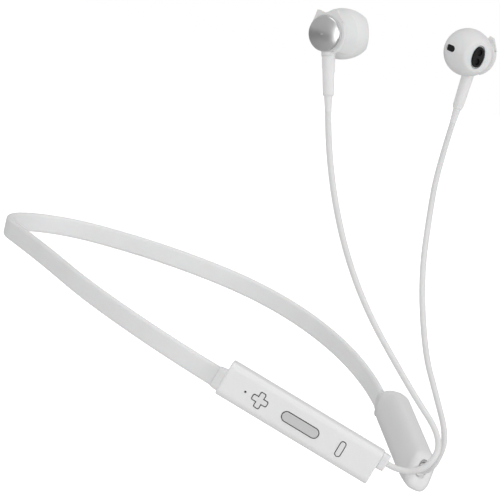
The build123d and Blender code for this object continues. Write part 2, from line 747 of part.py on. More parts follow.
class Earbud:
    """One earbud in its own frame, with X out of the nozzle and Z up.

    Args:
        hand: 1 for the right ear and -1 for the left, which is its mirror image.
    """

    def __init__(self, hand: int) -> None:
        self.hand = hand
        self.level = unit(-hand * back_turn)
        self.out = self.level * cos(radians(back_dip)) - Vector(0, 0, sin(radians(back_dip)))
        self.across = unit(hand * (90 - back_turn))
        self.axis = Axis((0, 0, 0), self.out)
        self.profile = Plane(origin=(0, 0, 0), x_dir=self.across,
                             z_dir=self.across.cross(self.out))

    def back_plane(self, reach: float) -> Plane:
        """A plane across the barrel, at a distance out along it."""
        return Plane(origin=self.out * reach, x_dir=self.across, z_dir=self.out)

    def stem_point(self, height: float) -> Vector:
        """A point on the stem's axis."""
        return self.level * stem_offset + Vector(0, 0, height)

    def barrel_radius(self, reach: float) -> float:
        """Radius of the tapering barrel at a distance out along it."""
        return back_radius_root + (back_radius_end - back_radius_root) * reach / back_reach

    def barrel(self, grow: float, start: float, end: float) -> Part:
        """The tapering barrel between two reaches, made larger by grow."""
        with BuildPart() as cone:
            for reach in (start, end):
                with BuildSketch(self.back_plane(reach)):
                    Circle(self.barrel_radius(reach) + grow)
            loft()
        return cone.part

    def barrel_band(self, outline: list, high: float) -> Part:
        """A band round the barrel, from below its inner side to an angle above it.

        Args:
            outline: Its section, as (radius, reach) corners.
            high: Where it ends, in degrees above the barrel's inner side.
        """
        with BuildPart() as ring:
            with BuildSketch(self.profile):
                with BuildLine():
                    Polyline(*outline, close=True)
                make_face()
            revolve(axis=self.axis, revolution_arc=skirt_low + high)
        return ring.part.rotate(self.axis, -(skirt_low if self.hand > 0 else high))

    def barrel_room(self) -> Part:
        """The hollow of the barrel, walled off from the soft cover."""
        with BuildPart() as room:
            add(self.barrel(-housing_wall, 0, back_reach - housing_wall))
            add(bulb(-housing_wall), mode=Mode.SUBTRACT)
        return room.part

    def vent_slot(self, start: float, end: float, shrink: float) -> Part:
        """The vent's slot between two distances from the bulb's middle."""
        out, rise = unit(self.hand * vent_turn), Vector(0, 0, vent_rise)
        with BuildPart() as slot:
            with BuildSketch(Plane(origin=out * start + rise,
                                   x_dir=Vector(0, 0, 1).cross(out), z_dir=out)):
                SlotOverall(vent_length - 2 * shrink, vent_height - 2 * shrink)
            extrude(amount=end - start)
        return slot.part

    def rear_housing(self) -> Part:
        """The hard back: a half ball, a barrel to the metal disc and a stub for the stem."""
        with BuildPart() as housing:
            add(self.barrel(0, 0, back_reach))
            with BuildSketch(Plane.XY.offset(-stem_start)):
                with Locations(self.stem_point(0)):
                    Circle(stem_top / 2 + 0.2)
            extrude(amount=stem_start / 2)
            add(bulb(-housing_gap), mode=Mode.SUBTRACT)
            add(back_ball(0))
            add(back_ball(housing_wall), mode=Mode.SUBTRACT)
            add(self.barrel_room(), mode=Mode.SUBTRACT)
            with BuildSketch(self.back_plane(back_reach - disc_thickness / 2)):
                Circle(disc_radius + housing_gap)
            extrude(amount=disc_thickness, mode=Mode.SUBTRACT)
            add(self.vent_slot(bulb_radius / 2, 2 * bulb_radius, 0), mode=Mode.SUBTRACT)
        return housing.part

    def metal_disc(self) -> Part:
        """The domed metal disc on the back."""
        base = back_reach - disc_thickness / 2 + housing_gap
        rim = base + disc_thickness
        half = disc_radius / 2
        crown = rim + dome_height(disc_radius, disc_dome, half)
        with BuildPart() as disc:
            with BuildSketch(self.profile):
                with BuildLine():
                    Polyline((0, rim + disc_dome), (0, base), (disc_radius, base),
                             (disc_radius, rim))
                    ThreePointArc((disc_radius, rim), (half, crown), (0, rim + disc_dome))
                make_face()
            revolve(axis=self.axis)
            rims = disc.edges().filter_by(lambda e: abs(e.length - 2 * pi * disc_radius) < 0.1)
            fillet(rims.sort_by(self.axis)[-1], disc_rim)
        return disc.part

    def ear_cover(self) -> Part:
        """The soft cover over the front, with a skirt, a lip and a fin that hold it in the ear."""
        near, far = self.barrel_radius(skirt_start), self.barrel_radius(skirt_end)
        skin, start = skirt_thickness, skirt_end - lip_width
        skirt = [(far / 2, skirt_start), (near + skin, skirt_start), (far + skin, skirt_end),
                 (far / 2, skirt_end)]
        lip = [(far / 2, start - skin), (far + skin, start - skin), (lip_radius - skin, start),
               (lip_radius, skirt_end - skin), (lip_radius - skin, skirt_end),
               (far / 2, skirt_end)]
        with BuildPart() as cover:
            add(self.barrel_band(skirt, skirt_high))
            add(self.barrel_band(lip, lip_high))
            for corners in (fin_corners, prong_corners):
                with BuildSketch(self.back_plane(skirt_end - fin_thickness)):
                    with BuildLine():
                        Polyline(*[(right, self.hand * up) for right, up in corners],
                                 close=True)
                    make_face()
                extrude(amount=fin_thickness)
            add(self.barrel(housing_gap, 0, back_reach), mode=Mode.SUBTRACT)
            add(back_ball(-housing_gap), mode=Mode.SUBTRACT)
            add(bulb(0))
            add(bulb(cover_thickness), mode=Mode.SUBTRACT)
            add(oval_along_nozzle(0, 2 * bulb_reach, nozzle_rim + housing_gap),
                mode=Mode.SUBTRACT)
            add(self.vent_slot(bulb_radius / 2, 2 * bulb_radius, 0), mode=Mode.SUBTRACT)
        return cover.part

    def front_housing(self) -> Part:
        """The hard cup that carries the driver, with the nozzle ring."""
        shell = cover_thickness + housing_gap
        with BuildPart() as ring:
            add(oval_along_nozzle(nose_reach - nozzle_depth, nozzle_depth, nozzle_rim))
            add(bulb(0), mode=Mode.INTERSECT)
        with BuildPart() as cup:
            add(bulb(shell))
            add(ring.part)
            add(bulb(shell + housing_wall), mode=Mode.SUBTRACT)
            add(oval_along_nozzle(0, 2 * bulb_reach, 0), mode=Mode.SUBTRACT)
            add(self.vent_slot(bulb_radius / 2, 2 * bulb_radius, 0), mode=Mode.SUBTRACT)
        return cup.part

    def stem_sleeve(self) -> Part:
        """The soft sleeve on the stem, ending in a slim boot where the cord enters."""
        top, low = -stem_start - housing_gap / 2, -stem_end
        with BuildPart() as sleeve:
            with BuildSketch(Plane(origin=self.stem_point(0), x_dir=self.level,
                                   z_dir=self.level.cross(Vector(0, 0, 1)))) as outline:
                with BuildLine():
                    Polyline((0, top), (stem_top / 2, top), (stem_bottom / 2, low),
                             (boot_top / 2, low - 0.5), (boot_bottom / 2, -boot_end),
                             (0, -boot_end), close=True)
                make_face()
                shoulder = (stem_bottom / 2, low)
                fillet(outline.vertices().sort_by_distance(shoulder)[0], 0.35)
            revolve(axis=Axis(self.stem_point(0), (0, 0, 1)))
        return sleeve.part

    def driver(self) -> Part:
        """The driver's basket, with its magnet cup behind."""
        with BuildPart() as basket:
            add(disc_along_nozzle(driver_at, driver_depth, driver_radius))
            add(disc_along_nozzle(driver_at + 1.3, driver_depth, driver_radius - 0.8),
                mode=Mode.SUBTRACT)
            add(disc_along_nozzle(driver_at - 1.6, 1.6, driver_radius / 2 + 0.2))
        return basket.part

    def diaphragm(self) -> Part:
        """The domed diaphragm on the driver's rim."""
        low = driver_at + driver_depth + housing_gap
        high, ring, rise = low + 0.2, driver_radius / 2, 0.65
        crown = high + dome_height(ring, rise, ring / 2)
        with BuildPart() as cone:
            with BuildSketch(Plane.XZ):
                with BuildLine():
                    Polyline((high + rise, 0), (low, 0), (low, driver_radius - 0.4),
                             (high, driver_radius - 0.4), (high, ring))
                    ThreePointArc((high, ring), (crown, ring / 2), (high + rise, 0))
                make_face()
            revolve(axis=Axis.X)
        return cone.part

    def nozzle_grille(self) -> Part:
        """The oval grille in the nozzle, with a round recess near each end."""
        with BuildPart() as grille:
            add(oval_along_nozzle(nose_reach - grille_depth, grille_thickness, -housing_gap))
            outside = Plane.YZ.offset(nose_reach - grille_depth + grille_thickness)
            with BuildSketch(outside):
                with Locations((0, grille_spread), (0, -grille_spread)):
                    Circle(grille_hole / 2)
            extrude(amount=-grille_thickness / 2, mode=Mode.SUBTRACT)
        return grille.part

    def vent_mesh(self) -> Part:
        """The dark mesh in the vent slot, just below the cover's skin."""
        return self.vent_slot(bulb_radius - cover_thickness, bulb_radius - vent_depth,
                              housing_gap)

    def snap_magnet(self) -> Part:
        """The magnet behind the metal disc, which lets the earbuds snap together."""
        with BuildPart() as magnet:
            with BuildSketch(self.back_plane(back_reach - housing_wall - housing_gap)):
                Circle(back_radius_end / 2)
            extrude(amount=-1.8)
        return magnet.part


bud_pieces = {"rear_housing": Earbud.rear_housing, "metal_disc": Earbud.metal_disc,
              "ear_cover": Earbud.ear_cover, "front_housing": Earbud.front_housing,
              "stem_sleeve": Earbud.stem_sleeve, "driver": Earbud.driver,
              "diaphragm": Earbud.diaphragm, "nozzle_grille": Earbud.nozzle_grille,
              "vent_mesh": Earbud.vent_mesh, "snap_magnet": Earbud.snap_magnet}
right_bud, left_bud = Earbud(1), Earbud(-1)
right_bud_place = Location(right_bud_at, (0, right_bud_lean, right_bud_heading))
left_bud_place = Location(left_bud_at, (0, left_bud_lean, left_bud_heading))
buds = {}
for piece_name, maker in bud_pieces.items():
    buds["right_" + piece_name] = maker(right_bud).moved(right_bud_place)
    buds["left_" + piece_name] = maker(left_bud).moved(left_bud_place)


# ---- cords -----------------------------------------------------------------
def fillet_radii(points: list) -> list:
    """Bend radii that leave a straight tenth of the shorter run between neighbouring arcs."""
    found = []
    for before, corner, after in zip(points, points[1:], points[2:]):
        into, away = corner - before, after - corner
        turn = radians(into.get_angle(away))
        found.append(0.45 * min(into.length, away.length) / tan(turn / 2))
    return found


def cord_points(plane: Plane, start: Vector, out: Vector, first_run: float, steps: list,
                end: Vector, up_stem: Vector, last_run: float) -> list:
    """The cord's corner points: out of its gland, through the steps and up into the stem.

    The steps are distances forward, to the left and up from the gland, in the level
    frame that looks the way the pod points.
    """
    ahead = Vector(plane.x_dir.X, plane.x_dir.Y, 0).normalized()
    left = Vector(0, 0, 1).cross(ahead)
    points = [start, start + out * first_run]
    points += [start + ahead * f + left * s + Vector(0, 0, u) for f, s, u in steps]
    return points + [end - up_stem * last_run, end]


def cord_tube(name: str, points: list) -> Part:
    """A round cord along tangent straights and arcs through the corner points."""
    radii = fillet_radii(points)
    with BuildPart() as tube:
        with BuildLine() as route:
            FilletPolyline(*points, radius=radii)
        with BuildSketch(Plane(origin=points[0], z_dir=points[1] - points[0])):
            Circle(cord_diameter / 2)
        sweep()
    length = sum(e.length for e in route.edges())
    print(name, "bend radii", [round(r, 1) for r in radii], "length", round(length, 1),
          "volume over section", round(tube.part.volume / (pi * cord_diameter**2 / 4), 1))
    print(name, "points", [(round(p.X, 2), round(p.Y, 2), round(p.Z, 2)) for p in points])
    return tube.part


right_steps = [(16, -1, 3), (18, 2, 14), (2, -3, 30), (-26.5, -7, 62.5)]
left_steps = [(12.1, 1.3, 7.2), (11.7, 2.8, 16.9), (3.6, -2.8, 31.4),
              (-12.3, -5, 43.5), (-35.3, -5.3, 68.6), (-56.3, -0.4, 91.1)]
cord_first_runs = (7.0, 7.5)     # straight out of the control pod and the battery pod
cord_last_runs = (22.5, 20.5)    # straight below the right and the left earbud
right_bud_plane = Plane(right_bud_place)
left_bud_plane = Plane(left_bud_place)
right_boot = right_bud_plane.from_local_coords(right_bud.stem_point(-boot_end))
left_boot = left_bud_plane.from_local_coords(left_bud.stem_point(-boot_end))
control_mouth = control_plane.from_local_coords(
    Vector(control_length + gland_reach, gland_up, pod_lean_out))
battery_mouth = slant_plane.from_local_coords(
    Vector(end_gland_up, -end_gland_right, end_gland_reach))

with BuildPart() as right_cord:
    add(cord_tube("right_cord", cord_points(
        control_plane, control_mouth, control_plane.x_dir, cord_first_runs[0], right_steps,
        right_boot, right_bud_plane.z_dir, cord_last_runs[0])))
with BuildPart() as left_cord:
    add(cord_tube("left_cord", cord_points(
        battery_plane, battery_mouth, slant_out, cord_first_runs[1], left_steps, left_boot,
        left_bud_plane.z_dir, cord_last_runs[1])))


# ---- write every piece -----------------------------------------------------
pieces = {"band_sleeve": band_sleeve, "memory_strip": memory_strip,
          "band_ribbon": band_ribbon, "control_face_shell": control_face_shell,
          "control_back_shell": control_back_shell, "control_collar": control_collar,
          "control_gland": control_gland, "control_board": control_board,
          "charging_socket": charging_socket, "microphone": microphone,
          "plus_button": plus_button, "play_button": play_button,
          "minus_button": minus_button, "plus_switch": plus_switch,
          "play_switch": play_switch, "minus_switch": minus_switch,
          "battery_inner_shell": battery_inner_shell,
          "battery_outer_shell": battery_outer_shell, "battery_collar": battery_collar,
          "battery_cell": battery_cell, "protection_board": protection_board,
          "battery_gland": battery_gland, "right_cord": right_cord, "left_cord": left_cord}
finished = {piece_name: built.part for piece_name, built in pieces.items()}
finished.update(buds)
for piece_name, solid in finished.items():
    solid.label = piece_name
    export_step(solid, f"parts/{piece_name}.step")
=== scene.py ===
"""Neckband earphones: finishes, cords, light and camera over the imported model."""

import logging
import math
from collections.abc import Callable
from dataclasses import dataclass, field
from enum import Enum
from typing import ClassVar

import bmesh
import bpy
import numpy as np
from mathutils import Matrix, Vector


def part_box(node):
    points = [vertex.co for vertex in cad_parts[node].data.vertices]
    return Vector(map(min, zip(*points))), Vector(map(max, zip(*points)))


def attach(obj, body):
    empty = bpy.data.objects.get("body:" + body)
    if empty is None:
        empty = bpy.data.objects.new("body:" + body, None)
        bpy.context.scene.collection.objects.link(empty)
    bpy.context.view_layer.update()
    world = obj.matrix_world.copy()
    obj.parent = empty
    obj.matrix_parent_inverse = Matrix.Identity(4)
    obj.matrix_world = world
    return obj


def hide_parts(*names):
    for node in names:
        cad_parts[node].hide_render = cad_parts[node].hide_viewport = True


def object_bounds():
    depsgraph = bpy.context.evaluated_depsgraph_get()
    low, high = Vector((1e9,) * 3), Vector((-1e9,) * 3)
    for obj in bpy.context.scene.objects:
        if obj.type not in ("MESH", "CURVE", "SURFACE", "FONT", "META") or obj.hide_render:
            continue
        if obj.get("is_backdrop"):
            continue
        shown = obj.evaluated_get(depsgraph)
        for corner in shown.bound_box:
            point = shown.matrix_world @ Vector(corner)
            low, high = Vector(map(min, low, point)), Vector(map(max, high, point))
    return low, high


logging.basicConfig(level=logging.INFO, format="%(message)s")
log = logging.getLogger("earphones")

MM = 0.001
ROOT_BODY = "neckband"

Colour = tuple[float, float, float]
Point = tuple[float, float, float]
Move = Callable[[Vector], Vector]

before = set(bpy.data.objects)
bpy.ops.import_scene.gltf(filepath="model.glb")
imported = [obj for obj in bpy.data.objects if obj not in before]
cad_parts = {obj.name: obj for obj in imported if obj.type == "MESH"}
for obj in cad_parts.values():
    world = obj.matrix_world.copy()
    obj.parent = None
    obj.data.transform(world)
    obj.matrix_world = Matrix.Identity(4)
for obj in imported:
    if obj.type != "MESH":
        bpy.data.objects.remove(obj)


class Side(Enum):
    """The ear that an earbud belongs to."""

    RIGHT = "right"
    LEFT = "left"


# ---- shader building -------------------------------------------------------
class Shader:
    """A material's node tree round one Principled shader."""

    def __init__(self, name: str) -> None:
        """Start the tree.

        Args:
            name: Name of the material.
        """
        self.material = bpy.data.materials.new(name)
        self.material.use_nodes = True
        self.tree = self.material.node_tree
        self.surface = self.tree.nodes["Principled BSDF"]
        self.place = self.node("ShaderNodeTexCoord").outputs["Object"]

    def node(self, kind: str, **settings: object) -> bpy.types.Node:
        """Add a node and set its properties.

        Args:
            kind: Blender's type name of the node.
            **settings: Properties of the node, by name.

        Returns:
            The new node.
        """
        made = self.tree.nodes.new(kind)
        for name, value in settings.items():
            setattr(made, name, value)
        return made

    def link(self, source: bpy.types.NodeSocket, target: bpy.types.NodeSocket) -> None:
        """Join an output to an input."""
        self.tree.links.new(source, target)

    def set(self, **values: object) -> None:
        """Set the surface's own sockets; an underscore stands for a space."""
        for name, value in values.items():
            self.surface.inputs[name.replace("_", " ")].default_value = value

    def noise(self, scale: float, detail: float = 3.0, rough: float = 0.5) -> bpy.types.NodeSocket:
        """A noise over the object's own space.

        Args:
            scale: Cells per metre.
            detail: Number of finer layers.
            rough: Weight of the finer layers.

        Returns:
            The noise's value socket.
        """
        made = self.node("ShaderNodeTexNoise")
        made.inputs["Scale"].default_value = scale
        made.inputs["Detail"].default_value = detail
        made.inputs["Roughness"].default_value = rough
        self.link(self.place, made.inputs["Vector"])
        return made.outputs["Fac"]

    def tint(self, value: bpy.types.NodeSocket, low: Colour, high: Colour,
             span: tuple[float, float] = (0.35, 0.65)) -> None:
        """Colour the surface between two tones by a value.

        Args:
            value: Socket that picks the tone.
            low: Colour at the start of the span.
            high: Colour at its end.
            span: Values at which the ramp starts and ends.
        """
        ramp = self.node("ShaderNodeValToRGB")
        for stop, where, colour in zip(ramp.color_ramp.elements, span, (low, high)):
            stop.position = where
            stop.color = (*colour, 1.0)
        self.link(value, ramp.inputs["Fac"])
        self.link(ramp.outputs["Color"], self.surface.inputs["Base Color"])

    def paint_gap_shade(self, reach: float, dark: float, span: tuple[float, float] = (0.4, 0.8)) -> None:
        """Paint shade into the surface's colour where it is shut in, as gaps and pits are.

        Args:
            reach: Distance within which something shuts a place in.
            dark: Share of the colour that is left under the painted shade of a closed gap.
            span: Openness at which the painted shade is full and at which it ends.
        """
        # Painted shade: ambient occlusion darkens the base colour in gaps and pits.
        open_air = self.node("ShaderNodeAmbientOcclusion", samples=8)
        open_air.inputs["Distance"].default_value = reach
        level = self.node("ShaderNodeMapRange")
        level.inputs["From Min"].default_value = span[0]
        level.inputs["From Max"].default_value = span[1]
        level.inputs["To Min"].default_value = dark
        self.link(open_air.outputs["AO"], level.inputs["Value"])
        shaded = self.node("ShaderNodeVectorMath", operation="SCALE")
        self.link(self.surface.inputs["Base Color"].links[0].from_socket, shaded.inputs[0])
        self.link(level.outputs["Result"], shaded.inputs["Scale"])
        self.link(shaded.outputs["Vector"], self.surface.inputs["Base Color"])

    def roughen(self, value: bpy.types.NodeSocket, low: float, high: float,
                span: tuple[float, float] = (0.3, 0.7)) -> None:
        """Vary the surface's roughness between two levels by a value.

        Args:
            value: Socket that picks the level.
            low: Roughness at the start of the span.
            high: Roughness at its end.
            span: Values at which the change starts and ends.
        """
        spread = self.node("ShaderNodeMapRange")
        spread.inputs["From Min"].default_value = span[0]
        spread.inputs["From Max"].default_value = span[1]
        spread.inputs["To Min"].default_value = low
        spread.inputs["To Max"].default_value = high
        self.link(value, spread.inputs["Value"])
        self.link(spread.outputs["Result"], self.surface.inputs["Roughness"])

    def bump(self, value: bpy.types.NodeSocket, depth: float, strength: float = 0.3) -> None:
        """Raise the surface by a value.

        Args:
            value: Socket that says how far each place is raised.
            depth: Height of the relief, in metres.
            strength: Weight of the relief.
        """
        made = self.node("ShaderNodeBump")
        made.inputs["Distance"].default_value = depth
        made.inputs["Strength"].default_value = strength
        self.link(value, made.inputs["Height"])
        previous = self.surface.inputs["Normal"].links
        if previous:
            self.link(previous[0].from_socket, made.inputs["Normal"])
        self.link(made.outputs["Normal"], self.surface.inputs["Normal"])


def shade(colour: Colour, factor: float) -> Colour:
    """The colour made lighter or darker by a factor."""
    return tuple(min(channel * factor, 1.0) for channel in colour)


# ---- finishes --------------------------------------------------------------
@dataclass(frozen=True)
class MouldedSilicone:
    """Soft matte silicone with a faint cloudiness and a fine moulded grain."""

    name: str
    colour: Colour
    roughness: tuple[float, float] = (0.52, 0.62)
    glow: float = 0.06
    grain: float = 5200.0
    grain_depth: float = 0.02 * MM
    # Painted shade in gaps and pits: share of the colour left there, and how far it reaches.
    gap_shade_tone: float = 0.72
    gap_shade_reach: float = 0.6 * MM
    cloud: float = 70.0
    cloud_tone: float = 0.975
    wear: float = 420.0
    glow_depth: float = 2.0 * MM
    sheen: float = 0.05
    sheen_roughness: float = 0.5
    reflection: float = 0.35

    def build(self) -> bpy.types.Material:
        """Make the material.

        Returns:
            The new material.
        """
        shader = Shader(self.name)
        shader.tint(shader.noise(self.cloud, 2.0), shade(self.colour, self.cloud_tone),
                    self.colour)
        # Painted shade in gaps and pits, from ambient occlusion.
        shader.paint_gap_shade(self.gap_shade_reach, self.gap_shade_tone)
        shader.roughen(shader.noise(self.wear, 4.0), *self.roughness)
        shader.bump(shader.noise(self.grain, 2.0), self.grain_depth)
        shader.set(Subsurface_Weight=self.glow, Subsurface_Scale=self.glow_depth,
                   Sheen_Weight=self.sheen, Sheen_Roughness=self.sheen_roughness,
                   Specular_IOR_Level=self.reflection)
        return shader.material


@dataclass(frozen=True)
class SatinPlastic:
    """Hard plastic with a spark-eroded satin skin."""

    name: str
    colour: Colour
    roughness: tuple[float, float] = (0.36, 0.44)
    grain: float = 3800.0
    grain_depth: float = 0.015 * MM
    grain_weight: float = 0.25
    coat: float = 0.08
    coat_roughness: float = 0.35
    # Painted shade in gaps, moats and pits: share of the colour left there, how far it reaches,
    # and the openness over which it fades.
    gap_shade_tone: float = 0.1
    gap_shade_reach: float = 0.8 * MM
    gap_shade_span: tuple[float, float] = (0.45, 0.85)
    cloud: float = 45.0
    cloud_tone: float = 0.98
    wear: float = 650.0

    def build(self) -> bpy.types.Material:
        """Make the material.

        Returns:
            The new material.
        """
        shader = Shader(self.name)
        shader.tint(shader.noise(self.cloud, 2.0), shade(self.colour, self.cloud_tone),
                    self.colour)
        # Painted shade in gaps, moats and pits, from ambient occlusion.
        shader.paint_gap_shade(self.gap_shade_reach, self.gap_shade_tone, self.gap_shade_span)
        shader.roughen(shader.noise(self.wear, 3.0), *self.roughness)
        pits = shader.node("ShaderNodeTexVoronoi", feature="SMOOTH_F1")
        pits.inputs["Scale"].default_value = self.grain
        shader.link(shader.place, pits.inputs["Vector"])
        shader.bump(pits.outputs["Distance"], self.grain_depth, self.grain_weight)
        shader.set(Coat_Weight=self.coat, Coat_Roughness=self.coat_roughness)
        return shader.material


@dataclass(frozen=True)
class SpunMetal:
    """Metal with rings turned round an axis."""

    name: str
    colour: Colour
    centre: Point
    rings: float = 3600.0
    wobble: float = 0.4
    roughness: tuple[float, float] = (0.27, 0.33)
    cloud: float = 260.0
    cloud_tone: float = 0.94
    grain: float = 2600.0
    grain_depth: float = 0.003 * MM
    grain_weight: float = 0.1

    def build(self) -> bpy.types.Material:
        """Make the material.

        Returns:
            The new material.
        """
        shader = Shader(self.name)
        shift = shader.node("ShaderNodeVectorMath", operation="SUBTRACT")
        shift.inputs[1].default_value = self.centre
        shader.link(shader.place, shift.inputs[0])
        wave = shader.node("ShaderNodeTexWave", wave_type="RINGS", rings_direction="SPHERICAL")
        wave.inputs["Scale"].default_value = self.rings
        wave.inputs["Distortion"].default_value = self.wobble
        shader.link(shift.outputs["Vector"], wave.inputs["Vector"])
        shader.tint(shader.noise(self.cloud, 3.0), shade(self.colour, self.cloud_tone),
                    self.colour)
        shader.roughen(wave.outputs["Fac"], *self.roughness)
        shader.bump(shader.noise(self.grain, 2.0), self.grain_depth, self.grain_weight)
        shader.set(Metallic=1.0)
        return shader.material


@dataclass(frozen=True)
class WovenMesh:
    """Black wire cloth: two crossing sets of round wires."""

    name: str
    colour: Colour = (0.012, 0.012, 0.013)
    wires: float = 1500.0
    wire_depth: float = 0.06 * MM
    wire_weight: float = 0.6
    wire_tones: tuple[float, float] = (0.4, 1.8)
    # Painted shade where the cloth is shut in: how far it reaches, share of the colour left, and
    # the openness over which it fades.
    gap_shade_reach: float = 1.2 * MM
    gap_shade_tone: float = 0.15
    gap_shade_span: tuple[float, float] = (0.3, 0.7)
    roughness: tuple[float, float] = (0.75, 0.6)
    reflection: float = 0.15

    def build(self) -> bpy.types.Material:
        """Make the material.

        Returns:
            The new material.
        """
        shader = Shader(self.name)
        weave = None
        for direction in ("Y", "Z"):
            wave = shader.node("ShaderNodeTexWave", wave_type="BANDS", bands_direction=direction)
            wave.inputs["Scale"].default_value = self.wires
            shader.link(shader.place, wave.inputs["Vector"])
            if weave is None:
                weave = wave.outputs["Fac"]
            else:
                both = shader.node("ShaderNodeMath", operation="MAXIMUM")
                shader.link(weave, both.inputs[0])
                shader.link(wave.outputs["Fac"], both.inputs[1])
                weave = both.outputs["Value"]
        shader.tint(weave, *(shade(self.colour, tone) for tone in self.wire_tones))
        # Painted shade where the cloth is shut in, from ambient occlusion.
        shader.paint_gap_shade(self.gap_shade_reach, self.gap_shade_tone, self.gap_shade_span)
        shader.bump(weave, self.wire_depth, self.wire_weight)
        shader.roughen(weave, *self.roughness)
        shader.set(Specular_IOR_Level=self.reflection)
        return shader.material


@dataclass(frozen=True)
class PlatedMetal:
    """Drawn or plated metal with fine scratches along it."""

    name: str
    colour: Colour
    roughness: tuple[float, float] = (0.2, 0.34)
    stretch: float = 30.0
    scratches: float = 300.0
    scratch_tone: float = 0.88
    scratch_depth: float = 0.01 * MM
    scratch_weight: float = 0.15

    def build(self) -> bpy.types.Material:
        """Make the material.

        Returns:
            The new material.
        """
        shader = Shader(self.name)
        squeeze = shader.node("ShaderNodeMapping")
        squeeze.inputs["Scale"].default_value = (1.0, 1.0, self.stretch)
        shader.link(shader.place, squeeze.inputs["Vector"])
        shader.place = squeeze.outputs["Vector"]
        scratches = shader.noise(self.scratches, 5.0)
        shader.tint(scratches, shade(self.colour, self.scratch_tone), self.colour)
        shader.roughen(scratches, *self.roughness)
        shader.bump(scratches, self.scratch_depth, self.scratch_weight)
        shader.set(Metallic=1.0)
        return shader.material


@dataclass(frozen=True)
class SolderMask:
    """A circuit board's mask with its faint copper tracks."""

    name: str
    colour: Colour = (0.02, 0.12, 0.06)
    tracks: float = 420.0
    track_width: float = 0.12
    track_tone: float = 1.9
    second_tone: float = 0.8
    track_depth: float = 0.03 * MM
    track_weight: float = 0.4
    wear: float = 900.0
    roughness: tuple[float, float] = (0.28, 0.4)

    def build(self) -> bpy.types.Material:
        """Make the material.

        Returns:
            The new material.
        """
        shader = Shader(self.name)
        tracks = shader.node("ShaderNodeTexBrick")
        tracks.inputs["Scale"].default_value = self.tracks
        tracks.inputs["Mortar Size"].default_value = self.track_width
        tracks.inputs["Color1"].default_value = (*self.colour, 1.0)
        tracks.inputs["Color2"].default_value = (*shade(self.colour, self.second_tone), 1.0)
        tracks.inputs["Mortar"].default_value = (*shade(self.colour, self.track_tone), 1.0)
        shader.link(shader.place, tracks.inputs["Vector"])
        shader.link(tracks.outputs["Color"], shader.surface.inputs["Base Color"])
        shader.bump(tracks.outputs["Fac"], self.track_depth, self.track_weight)
        shader.roughen(shader.noise(self.wear), *self.roughness)
        return shader.material


@dataclass(frozen=True)
class Film:
    """A thin amber speaker film with an uneven pressed skin."""

    name: str
    colour: Colour = (0.62, 0.55, 0.4)
    cloud: float = 500.0
    cloud_tone: float = 0.85
    wear: float = 800.0
    roughness: tuple[float, float] = (0.2, 0.32)
    grain: float = 1800.0
    grain_depth: float = 0.02 * MM
    clearness: float = 0.25

    def build(self) -> bpy.types.Material:
        """Make the material.

        Returns:
            The new material.
        """
        shader = Shader(self.name)
        shader.tint(shader.noise(self.cloud), shade(self.colour, self.cloud_tone), self.colour)
        shader.roughen(shader.noise(self.wear), *self.roughness)
        shader.bump(shader.noise(self.grain), self.grain_depth)
        shader.set(Transmission_Weight=self.clearness)
        return shader.material


# Share of the colour left under a lighter painted shade in gaps and pits.
SHALLOW_GAP_SHADE = 0.6
LIGHT_SILICONE: Colour = (0.815, 0.815, 0.815)
CORD_WHITE: Colour = (0.75, 0.75, 0.75)
STEM_WHITE: Colour = (0.8, 0.8, 0.8)
# Painted shade: the battery pod's copy of the pods' white plastic, set darker than CONTROL_WHITE
# because that pod faces away from the lamps.
BATTERY_SHADED_WHITE: Colour = (0.77, 0.77, 0.77)
CONTROL_WHITE: Colour = (0.82, 0.82, 0.82)
BUD_WHITE: Colour = (0.75, 0.75, 0.75)
KEY_WHITE: Colour = (0.76, 0.76, 0.76)
KEY_GREY: Colour = (0.56, 0.56, 0.56)
STEEL: Colour = (0.56, 0.56, 0.57)
FOIL: Colour = (0.6, 0.6, 0.61)
DISC_GREY: Colour = (0.86, 0.86, 0.865)
RIBBON_WHITE: Colour = (0.6, 0.6, 0.58)
FLOOR_WHITE: Colour = (0.85, 0.85, 0.85)


def dress(material: bpy.types.Material, *nodes: str) -> None:
    """Give CAD nodes a material.

    Args:
        material: The finish to show.
        *nodes: Names of the nodes.
    """
    for name in nodes:
        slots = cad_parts[name].data.materials
        slots.clear()
        slots.append(material)
        log.info("dressed %s in %s", name, material.name)


# ---- sub-assemblies --------------------------------------------------------
@dataclass
class Band:
    """The soft band, its spring strip and its flat cable."""

    skin: MouldedSilicone = MouldedSilicone("band silicone", LIGHT_SILICONE)

    def build(self) -> None:
        """Dress the band's pieces."""
        dress(self.skin.build(), "band_sleeve")
        dress(PlatedMetal("spring steel", STEEL, stretch=4.0).build(), "memory_strip")
        dress(SatinPlastic("ribbon jacket", RIBBON_WHITE).build(), "band_ribbon")


@dataclass
class ControlPod:
    """The pod with the keys, the microphone and the charging socket."""

    shell: SatinPlastic = SatinPlastic("control shell", CONTROL_WHITE)
    white_key: SatinPlastic = SatinPlastic("white key", KEY_WHITE, coat=0.2)
    grey_key: SatinPlastic = SatinPlastic("satin key", KEY_GREY, roughness=(0.28, 0.34))

    def build(self) -> None:
        """Dress the pod's pieces."""
        dress(self.shell.build(), "control_face_shell", "control_back_shell")
        dress(self.white_key.build(), "plus_button", "minus_button")
        dress(self.grey_key.build(), "play_button")
        dress(MouldedSilicone("control soft parts", LIGHT_SILICONE).build(),
              "control_collar", "control_gland")
        dress(SolderMask("control board mask").build(), "control_board")
        dress(PlatedMetal("socket plating", STEEL).build(), "charging_socket",
              "plus_switch", "play_switch", "minus_switch")
        dress(WovenMesh("microphone cloth").build(), "microphone")


def corners(node: str) -> np.ndarray:
    """The places of a CAD node's corners, one to a row."""
    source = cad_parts[node]
    return np.array([source.matrix_world @ vertex.co for vertex in source.data.vertices])


